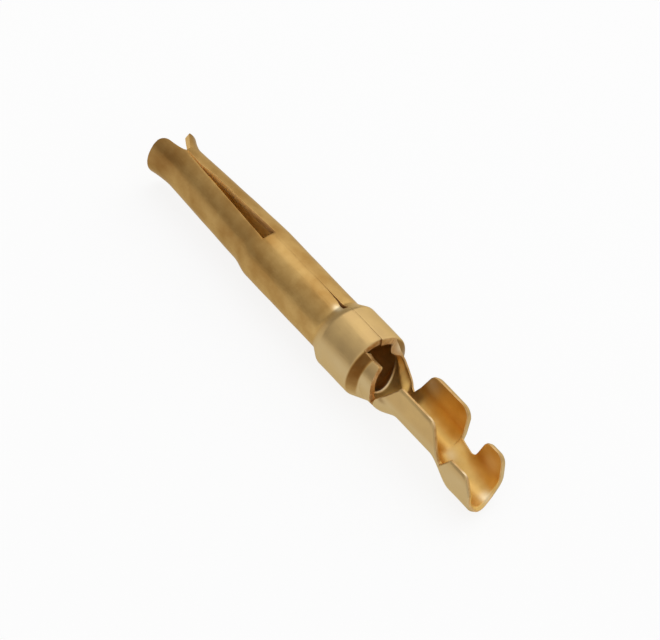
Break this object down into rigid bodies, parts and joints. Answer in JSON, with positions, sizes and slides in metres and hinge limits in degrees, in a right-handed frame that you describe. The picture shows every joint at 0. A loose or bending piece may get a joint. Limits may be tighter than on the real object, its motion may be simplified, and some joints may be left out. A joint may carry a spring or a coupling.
{
  "type": "crimp socket contact",
  "caption": "Stamped and rolled crimp socket contact: split spring socket, round collar, open throat, wire crimp wings and insulation grip wings.",
  "frame": {"origin": "on the socket's axis, in the middle of the round collar", "axes": "+X along the contact towards the wire end, +Z from the axis towards the seam and the open side of the crimp wings, with the slots between the tines turned 10 degrees from it"},
  "size_m": [0.0167, 0.0024, 0.0024],
  "materials": {
    "gilt_brass": "thin satin gold plating over half-hard rolled brass strip, with bare copper-coloured sheared edges"
  },
  "bodies": {
    "root": {"socket_contact": "gilt_brass"}
  },
  "joints": []
}
